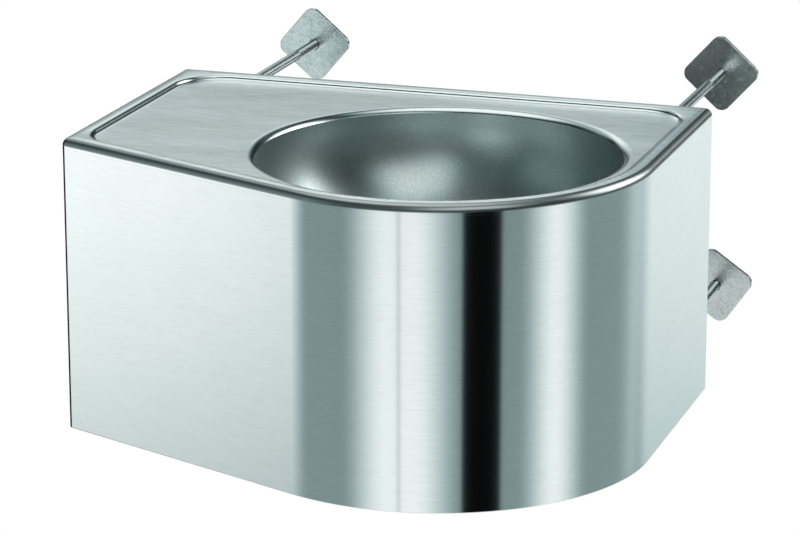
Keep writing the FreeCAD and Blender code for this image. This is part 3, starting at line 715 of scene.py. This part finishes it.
def press_shelf(bm, plan, sizes, rim, shelf):
    """The rim with its crown, and the leaning step down to the shelf."""
    ridge_corner = sizes.shelf_corner / 2
    ridge = body_outline(bm, plan, (sizes.top_bend + sizes.rim) / 2, plan.top, ridge_corner,
                         -sizes.back_rim / 2, ridge_corner)
    fill_between(bm, rims_at(bm, rim) + ridge)
    flat, lean = sizes.step_bend + LEVEL_BAND, sizes.step_lean
    out = flat + lean / 2
    corner = sizes.shelf_corner + out
    lip = body_outline(bm, plan, sizes.rim - out, rim, corner, out - sizes.back_rim, corner)
    sheet = bmesh.ops.contextual_create(bm, geom=lip)["faces"][0]
    bends = []
    for width, fall in ((flat, 0.0), (lean, shelf - rim), (flat, 0.0)):
        inset_face(bm, sheet, width)
        bmesh.ops.translate(bm, verts=sheet.verts[:], vec=(0, 0, fall))
        bends.append(sheet.edges[:])
    bmesh.ops.delete(bm, geom=[sheet], context="FACES_ONLY")
    round_off(bm, bends[0] + bends[1], sizes.step_bend, STEP_BEND_STEPS)
    fill_between(bm, ridge + in_front_of(rims_at(bm, rim), 0.0))


def roll_mouth(plan, sizes, shelf):
    """The mouth that rolls down from the shelf into the bowl."""
    bm = bmesh.new()
    y = plan.bowl.y
    start = plan.bowl.x + plan.mouth + sizes.roll * sin(sizes.roll_turn)
    vert = line_to(bm, start_at(bm, start + LEVEL_BAND, y, shelf), start, y)
    arc_to(bm, vert, (start, y, shelf - sizes.roll), -sizes.roll_turn, ROLL_STEPS, INTO_WALL)
    spin_round(bm, Vector((*plan.bowl, 0)), UP, sizes.steps)
    return bm


def fold_flange(bm, plan, sizes):
    """The deck's flange on the wall, let in between the sides below the seam."""
    foot = [vert for edge in edges_on_wall(bm) for vert in edge.verts]
    foot.sort(key=lambda vert: (vert.co.z, vert.co.x))
    vert = min(foot, key=lambda vert: vert.co.x)
    right = max(foot, key=lambda vert: vert.co.x)
    inner = plan.half - sizes.sheet - LEVEL_BAND
    low = plan.top - sizes.flange
    for x, z in ((-inner, plan.seam), (-inner, low), (inner, low), (inner, plan.seam)):
        vert = line_to(bm, vert, x, 0, z)
    bmesh.ops.contextual_create(bm, geom=[vert, right])
    bmesh.ops.contextual_create(bm, geom=edges_on_wall(bm))


def build_deck(plan, sizes, bowl):
    """The outer face of the pressed deck: crowned rim, stepped shelf, rolled mouth and back flange."""
    bm = bmesh.new()
    rim, shelf = plan.top - sizes.crown, plan.top - sizes.shelf_drop
    press_edge(bm, plan, sizes, rim)
    press_shelf(bm, plan, sizes, rim, shelf)
    merge(bm, roll_mouth(plan, bowl, shelf))
    fill_between(bm, rims_at(bm, shelf))
    fold_flange(bm, plan, sizes)
    face_up(bm)
    for face in bm.faces:
        slope = abs(face.normal.z)
        if face.material_index == OUTER_BEND:
            continue
        if slope > LEVEL_SLOPE:
            face.material_index = LEVEL
        else:
            face.material_index = BENT if slope > UPRIGHT_SLOPE else UPRIGHT
    return bm


def build_bowl(plan, sizes, sheet):
    """The inner face of the spun bowl, from the mouth's foot down to the waste hole."""
    bm = bmesh.new()
    x, y = plan.bowl
    mouth, wall_foot = x + plan.mouth, plan.bowl_top - sizes.wall
    seat = plan.bowl_foot + sheet
    vert = line_to(bm, start_at(bm, mouth, y, plan.bowl_top), mouth, y, wall_foot)
    hub = (mouth - sizes.curve, y, wall_foot)
    vert = arc_to(bm, vert, hub, pi / 2 - sizes.floor_slope, BOWL_CURVE_STEPS, INTO_WALL)
    for reach, z in (
            (sizes.seat, seat + sizes.seat_depth), (sizes.seat - SEAT_DRAFT, seat), (sizes.hole, seat)):
        vert = line_to(bm, vert, x + reach, y, z)
    spin_round(bm, Vector((x, y, 0)), UP, sizes.steps)

    def on_seat(vert):
        return abs(hypot(vert.co.x - x, vert.co.y - y) - sizes.seat) < SEAT_NEAR

    rings = [edge for edge in bm.edges if all(on_seat(vert) for vert in edge.verts)
             and abs(edge.verts[0].co.z - edge.verts[1].co.z) < TINY]
    round_off(bm, rings, sizes.seat_bend, FOOT_BEND_STEPS)
    face_up(bm)
    return bm


def build_wall(plan, sizes, chain):
    """The outer face of a wall whose plan chain draws: upright sheet, a bend at the foot and a return."""
    bm = bmesh.new()
    rows = [chain(bm, inset, z) for inset, z in (
        (0.0, plan.seam), (0.0, plan.underside), (sizes.bottom_return, plan.underside))]
    bridge(bm, *rows)
    round_off(bm, rows[1], sizes.bottom_bend, FOOT_BEND_STEPS)
    return bm


def build_apron(plan, sizes):
    """The outer face of the apron: the slanted wall that runs on into the round front."""

    def chain(bm, inset, z):
        return body_outline(bm, plan, inset, z, max(sizes.corner - inset, LEAST_CORNER), ends=False)

    bm = build_wall(plan, sizes, chain)
    face_away(bm, plan.bowl)
    return bm


def build_side(plan, sizes, sign, front):
    """The outer face of a side: a flat wall with its returns underneath and on the wall of the room."""
    x = sign * plan.half

    def chain(bm, inset, z):
        old = set(bm.edges)
        line_to(bm, start_at(bm, x - sign * inset, front, z), x - sign * inset, 0)
        return [edge for edge in bm.edges if edge not in old]

    bm = build_wall(plan, sizes, chain)
    low = plan.top - sizes.flange
    bmesh.ops.bisect_plane(bm, geom=everything(bm), plane_co=(0, 0, low), plane_no=UP)
    back = [edge for edge in edges_on_wall(bm) if all(
        abs(vert.co.x - x) < TINY and vert.co.z < low + TINY for vert in edge.verts)]
    extrude(bm, back, (-sign * sizes.back_return, 0, 0))
    face_away(bm, plan.bowl)
    return bm


def cut_thread(sizes, start, end):
    """A thread's ridge along Y: one closed coil with its foot inside the core, run out at both ends."""
    bm = bmesh.new()
    steps = int(((end - start) / sizes.pitch - 1) * THREAD_STEPS)
    foot, crest, gap = sizes.root - FOOT_SINK, sizes.pitch * CREST_SHARE, sizes.pitch * GAP_SHARE
    vert = start_at(bm, foot, start + gap, 0)
    for x, y in ((sizes.crest, (sizes.pitch - crest) / 2), (sizes.crest, (sizes.pitch + crest) / 2),
                 (foot, sizes.pitch - gap)):
        vert = line_to(bm, vert, x, start + y)
    bmesh.ops.contextual_create(bm, geom=bm.verts[:])
    bmesh.ops.spin(bm, geom=everything(bm), cent=(0, 0, 0), axis=INTO_WALL, steps=steps,
                   angle=2 * pi * steps / THREAD_STEPS, dvec=INTO_WALL * (sizes.pitch / THREAD_STEPS))
    for vert in bm.verts:
        turns = min(vert.co.y - start, end - vert.co.y) / sizes.pitch
        ridge = min(1.0, max(LEAST_RIDGE, turns / RUN_OUT_TURNS))
        reach = hypot(vert.co.x, vert.co.z)
        vert.co.xz = vert.co.xz * ((foot + (reach - foot) * ridge) / reach)
    return bm


def build_stud(sizes, back, front):
    """A wall stud along Y at the origin: plain shank, a thread on each end and chamfered points."""
    bm = bmesh.new()
    core = sizes.root + CORE_LIFT
    vert = start_at(bm, 0, back, 0)
    for x, y in (
            (core - sizes.point, back), (core, back + sizes.point),
            (core, sizes.shank_back - BACK_SHOULDER), (sizes.shank, sizes.shank_back),
            (sizes.shank, sizes.shank_front), (core, sizes.shank_front + FRONT_SHOULDER),
            (core, front - sizes.point), (core - sizes.point, front), (0, front)):
        vert = line_to(bm, vert, x, y)
    spin_round(bm, (0, 0, 0), INTO_WALL, STUD_STEPS)
    merge(bm, cut_thread(sizes, back + sizes.point, sizes.shank_back))
    merge(bm, cut_thread(sizes, sizes.shank_front, front - sizes.point))
    bmesh.ops.remove_doubles(bm, verts=bm.verts[:], dist=TINY)
    bmesh.ops.recalc_face_normals(bm, faces=bm.faces[:])
    return bm


# Stage


def build_floor(z, radius):
    """A pale round floor that looks white to the camera and keeps a soft shadow."""
    material, tree, shader, place = start_material("pale_floor")
    grey = remap(tree, noise(tree, place, 3.0, 3.0), 0.3, 0.7, 0.15, 0.16)
    tree.links.new(tint(tree, (1.0, 1.0, 1.0), grey), shader.inputs["Base Color"])
    shader.inputs["Roughness"].default_value = 0.9
    shader.inputs["Emission Color"].default_value = (1, 1, 1, 1)
    ray = add(tree, "ShaderNodeLightPath").outputs
    mirrored = calc(tree, "MAXIMUM", ray["Is Glossy Ray"], ray["Is Transmission Ray"])
    seen = calc(tree, "MAXIMUM", ray["Is Camera Ray"], mirrored)
    tree.links.new(product(tree, seen, 0.93), shader.inputs["Emission Strength"])
    bm = bmesh.new()
    bmesh.ops.create_circle(bm, cap_ends=True, segments=128, radius=radius,
                            matrix=Matrix.Translation((0, 0, z)))
    mesh = bpy.data.meshes.new("floor")
    bm.to_mesh(mesh)
    bm.free()
    mesh.materials.append(material)
    floor = bpy.data.objects.new("floor", mesh)
    bpy.context.scene.collection.objects.link(floor)


def studio_card():
    """A soft-edged panel of the studio, placed by its bearing and its height in degrees."""
    group, given, result = new_group("studio_card", {
        "Azimuth": 0.0, "Elevation": 0.0, "Centre": 0.0, "Half Width": 10.0, "Side Edge": 5.0, "Low": -40.0,
        "High": -8.0, "Low Edge": 5.0, "High Edge": 5.0}, ("Mask",))

    def fade(value, place, edge, rising):
        below, above = (calc(group, sign, given[place], given[edge]) for sign in ("SUBTRACT", "ADD"))
        return remap(group, value, *((below, above) if rising else (above, below)), smooth=True)

    turn = calc(group, "WRAP", calc(group, "SUBTRACT", given["Azimuth"], given["Centre"]), 180.0, -180.0)
    side = fade(calc(group, "ABSOLUTE", turn), "Half Width", "Side Edge", False)
    low = fade(given["Elevation"], "Low", "Low Edge", True)
    high = fade(given["Elevation"], "High", "High Edge", False)
    group.links.new(product(group, side, product(group, low, high)), result["Mask"])
    return group


def build_studio(scene):
    """Soft panels and black flags around the basin, which light it and show in its metal.

    To the camera the surroundings are plain white.
    """
    world = bpy.data.worlds.new("studio")
    scene.world = world
    world.use_nodes = True
    tree = world.node_tree
    tree.nodes.clear()
    view = add(tree, "ShaderNodeTexCoord").outputs["Generated"]
    apart = add(tree, "ShaderNodeSeparateXYZ", {0: view}).outputs
    azimuth = calc(tree, "DEGREES", calc(tree, "ARCTAN2", apart["Y"], apart["X"]))
    height = calc(tree, "DEGREES", calc(tree, "ARCSINE", apart["Z"]))
    card = studio_card()

    def panel(level, centre, half, edge, low, high, low_edge=4.0, high_edge=4.0):
        mask = add(tree, "ShaderNodeGroup", {
            "Azimuth": azimuth, "Elevation": height, "Centre": centre, "Half Width": half, "Side Edge": edge,
            "Low": low, "High": high, "Low Edge": low_edge, "High Edge": high_edge}, node_tree=card)
        return product(tree, mask.outputs["Mask"], level)

    def softbox(level, centre, rise, half, edge):
        centre, rise = radians(centre), radians(rise)
        aim = Vector((cos(rise) * cos(centre), cos(rise) * sin(centre), sin(rise)))
        facing = vector_sum(tree, "DOT_PRODUCT", view, aim)["Value"]
        rim = [cos(radians(angle)) for angle in (half + edge, half - edge)]
        return product(tree, remap(tree, facing, *rim, smooth=True), level)

    # Each panel has its level, then in degrees its bearing, half its width and the softness of its sides, its
    # low and high ends and their softness. The softbox is round: level, bearing, rise, radius and softness.
    lights = [
        softbox(1.2, 140, 76, 24, 9),
        panel(1.2, -44, 17, 11, 25, 64, 7, 10),
        panel(1.1, -72, 10, 10, 19, 60, 7, 10),
        panel(0.4, -5, 22, 8, 50, 66, 7, 8),
        panel(3.4, 43, 21, 9, 9, 44, 6, 10),
        panel(1.18, 116, 17, 9, 14.5, 29, 10.5, 8),
        panel(0.45, 128, 26, 14, 26, 54, 8, 8),
        panel(0.08, 86, 9, 9, 22, 42, 5, 8),
        panel(0.12, -108, 14, 8, 5, 50, 8, 8),
        panel(0.35, -155, 25, 8, -6, 30, 4, 20),
        panel(1.46, -166, 13.4, 8, -20, -6, 8, 4),
        panel(0.34, -50, 105, 8, -45, -8),
        panel(0.81, -92, 20, 13, -40, -8),
        panel(0.79, -9, 11, 11, -45, -6),
        panel(1.0, 78, 24, 22, -21, -9, 8, 3),
    ]
    flags = [
        panel(1.0, -50, 10.3, 0.6, -70, 14, 4, 3),
        panel(0.42, -93, 0.8, 0.6, -60, -6),
        panel(1.0, 151, 29, 3, -30, 2),
    ]
    room_light = 0.015
    total = room_light
    for light in lights:
        total = calc(tree, "ADD", light, total)
    for flag in flags:
        total = product(tree, total, calc(tree, "SUBTRACT", 1.0, flag))
    cool, neutral = (0.66, 1.0, 1.03, 1.0), (0.95, 1.0, 0.99, 1.0)
    brightness = remap(tree, total, 0.05, 1.15)
    hue = add(tree, "ShaderNodeMix", {0: brightness, 6: cool, 7: neutral}, data_type="RGBA").outputs[2]
    lit = add(tree, "ShaderNodeBackground", {"Color": scaled(tree, hue, total), "Strength": 1.0})
    white = add(tree, "ShaderNodeBackground", {"Color": (1, 1, 1, 1), "Strength": 1.0})
    ray = add(tree, "ShaderNodeLightPath").outputs
    both = add(tree, "ShaderNodeMixShader", {
        0: ray["Is Camera Ray"], 1: lit.outputs[0], 2: white.outputs[0]})
    add(tree, "ShaderNodeOutputWorld", {"Surface": both.outputs[0]})


def build_camera(scene, sizes):
    """The camera that the photograph was fitted with."""
    data = bpy.data.cameras.new("camera")
    data.lens = sizes.lens
    data.sensor_width = 36.0
    data.clip_end = 50.0
    camera = bpy.data.objects.new("camera", data)
    camera.location = sizes.place
    camera.rotation_euler = (sizes.pitch, 0.0, sizes.turn)
    scene.collection.objects.link(camera)
    scene.camera = camera


# Operators


class BASIN_OT_finishes(bpy.types.Operator):
    """Makes the finishes and puts them on the CAD nodes"""

    bl_idname = "basin.finishes"
    bl_label = "Finishes"

    def execute(self, context):
        plan, colours = plan_of_frame(), context.scene.basin_colours
        groups = SimpleNamespace(grain=brushed_grain(), marks=handling_marks(), speckle=fine_speckle())
        by_slot = {
            "satin_steel": wall_steel(groups, colours.wall),
            "bowl_steel": bowl_steel(groups, colours.bowl, plan),
            "frame_steel": mill_steel(groups, colours.mill),
            "stud_zinc": stud_zinc(groups, colours.stud),
            "plate_zinc": plate_zinc(groups, colours.plate),
            "screw_steel": screw_steel(groups, colours.mill),
            "waste_steel": waste_steel(groups, colours.waste, plan),
            "trap_chrome": trap_chrome(groups, colours.chrome),
            "seal_rubber": seal_rubber(groups, colours.rubber),
        }
        deck_steel(groups, colours.deck)
        bend_steel(groups, "satin_bend", colours.deck, roughness=0.17)
        # Painted shade: the outer bend takes the darkened colour in place of the dark band that it reflects.
        bend_steel(groups, "satin_edge_painted_shade", colours.edge, roughness=0.3)
        for part in frame["record"]["subparts"]:
            mesh = frame["nodes"][part["node"]].data
            mesh.materials.clear()
            mesh.materials.append(by_slot[part["material_slot"]])
        return {"FINISHED"}


class BASIN_OT_deck(bpy.types.Operator):
    """Presses the deck with its shelf, step and rolled mouth"""

    bl_idname = "basin.deck"
    bl_label = "Deck"

    def execute(self, context):
        sizes = context.scene.basin_sheet
        bm = build_deck(plan_of_frame(), sizes, context.scene.basin_bowl)
        finishes = [bpy.data.materials[name] for name in DECK_FINISHES]
        piece = finish_piece(bm, "deck_pressing", finishes[LEVEL], "satin_steel", BODY, "deck")
        for finish in finishes[1:]:
            piece.data.materials.append(finish)
        thicken(piece, sizes.sheet)
        soften(piece, sizes.edge)
        return {"FINISHED"}


class BASIN_OT_bowl(bpy.types.Operator):
    """Spins the bowl"""

    bl_idname = "basin.bowl"
    bl_label = "Bowl"

    def execute(self, context):
        sizes = context.scene.basin_sheet
        bm = build_bowl(plan_of_frame(), context.scene.basin_bowl, sizes.sheet)
        piece = finish_piece(bm, "spun_bowl", bpy.data.materials["satin_bowl"], "bowl_steel", BODY, "bowl")
        thicken(piece, sizes.sheet)
        soften(piece, sizes.edge)
        return {"FINISHED"}


class BASIN_OT_walls(bpy.types.Operator):
    """Folds the front apron and the two sides"""

    bl_idname = "basin.walls"
    bl_label = "Walls"

    def execute(self, context):
        plan, sizes = plan_of_frame(), context.scene.basin_sheet
        steel = bpy.data.materials["satin_wall"]
        apron = build_apron(plan, sizes)
        pieces = [finish_piece(apron, "apron_sheet", steel, "satin_steel", BODY, "front_apron")]
        for side, sign in (("left_side", -1), ("right_side", 1)):
            bm = build_side(plan, sizes, sign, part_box(side)[0].y)
            pieces.append(finish_piece(bm, side + "_sheet", steel, "satin_steel", BODY, side))
        for piece in pieces:
            thicken(piece, sizes.sheet)
            soften(piece, sizes.edge)
        return {"FINISHED"}


class BASIN_OT_studs(bpy.types.Operator):
    """Cuts the four threaded wall studs"""

    bl_idname = "basin.studs"
    bl_label = "Wall studs"

    def execute(self, context):
        sizes = context.scene.basin_stud
        zinc = bpy.data.materials["bright_zinc"]
        for place in PLACES:
            node = "wall_stud_" + place
            low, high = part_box(node)
            middle = (low + high) / 2
            bm = build_stud(sizes, low.y, high.y)
            bmesh.ops.translate(bm, verts=bm.verts[:], vec=(middle.x, 0, middle.z))
            piece = finish_piece(bm, "threaded_stud_" + place, zinc, "stud_zinc", BODY, node)
            soften(piece, sizes.edge)
        return {"FINISHED"}


class BASIN_OT_stage(bpy.types.Operator):
    """Sets the floor, the studio light and the camera"""

    bl_idname = "basin.stage"
    bl_label = "Stage"

    def execute(self, context):
        sizes = context.scene.basin_stage
        build_floor(plan_of_frame().top - sizes.rim_height, sizes.floor_radius)
        build_studio(context.scene)
        build_camera(context.scene, sizes)
        context.scene.view_settings.view_transform = "Standard"
        return {"FINISHED"}


class BASIN_PT_panel(bpy.types.Panel):
    """The washbasin's sizes, colours and steps"""

    bl_label = "Washbasin"
    bl_idname = "BASIN_PT_panel"
    bl_space_type = "VIEW_3D"
    bl_region_type = "UI"
    bl_category = "Washbasin"

    def draw(self, context):
        for operator, group in STEPS:
            box = self.layout.box()
            box.operator(operator.bl_idname)
            if group:
                sizes = getattr(context.scene, group)
                for name in sizes.__annotations__:
                    box.prop(sizes, name)


STEPS = (
    (BASIN_OT_finishes, "basin_colours"), (BASIN_OT_deck, "basin_sheet"), (BASIN_OT_bowl, "basin_bowl"),
    (BASIN_OT_walls, ""), (BASIN_OT_studs, "basin_stud"), (BASIN_OT_stage, "basin_stage"))
GROUPS = {"basin_colours": BasinColours, "basin_sheet": BasinSheetSizes, "basin_bowl": BasinBowlSizes,
          "basin_stud": BasinStudSizes, "basin_stage": BasinStageSizes}
CLASSES = (*GROUPS.values(), *(operator for operator, group in STEPS), BASIN_PT_panel)


def register():
    for kind in CLASSES:
        bpy.utils.register_class(kind)
    for name, kind in GROUPS.items():
        setattr(bpy.types.Scene, name, PointerProperty(type=kind))


def unregister():
    for name in GROUPS:
        delattr(bpy.types.Scene, name)
    for kind in reversed(CLASSES):
        bpy.utils.unregister_class(kind)


def main():
    register()
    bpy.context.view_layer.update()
    bpy.ops.basin.finishes()
    bpy.ops.basin.deck()
    bpy.ops.basin.bowl()
    bpy.ops.basin.walls()
    bpy.ops.basin.studs()
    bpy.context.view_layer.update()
    bpy.ops.basin.stage()


if __name__ == "__main__":
    main()
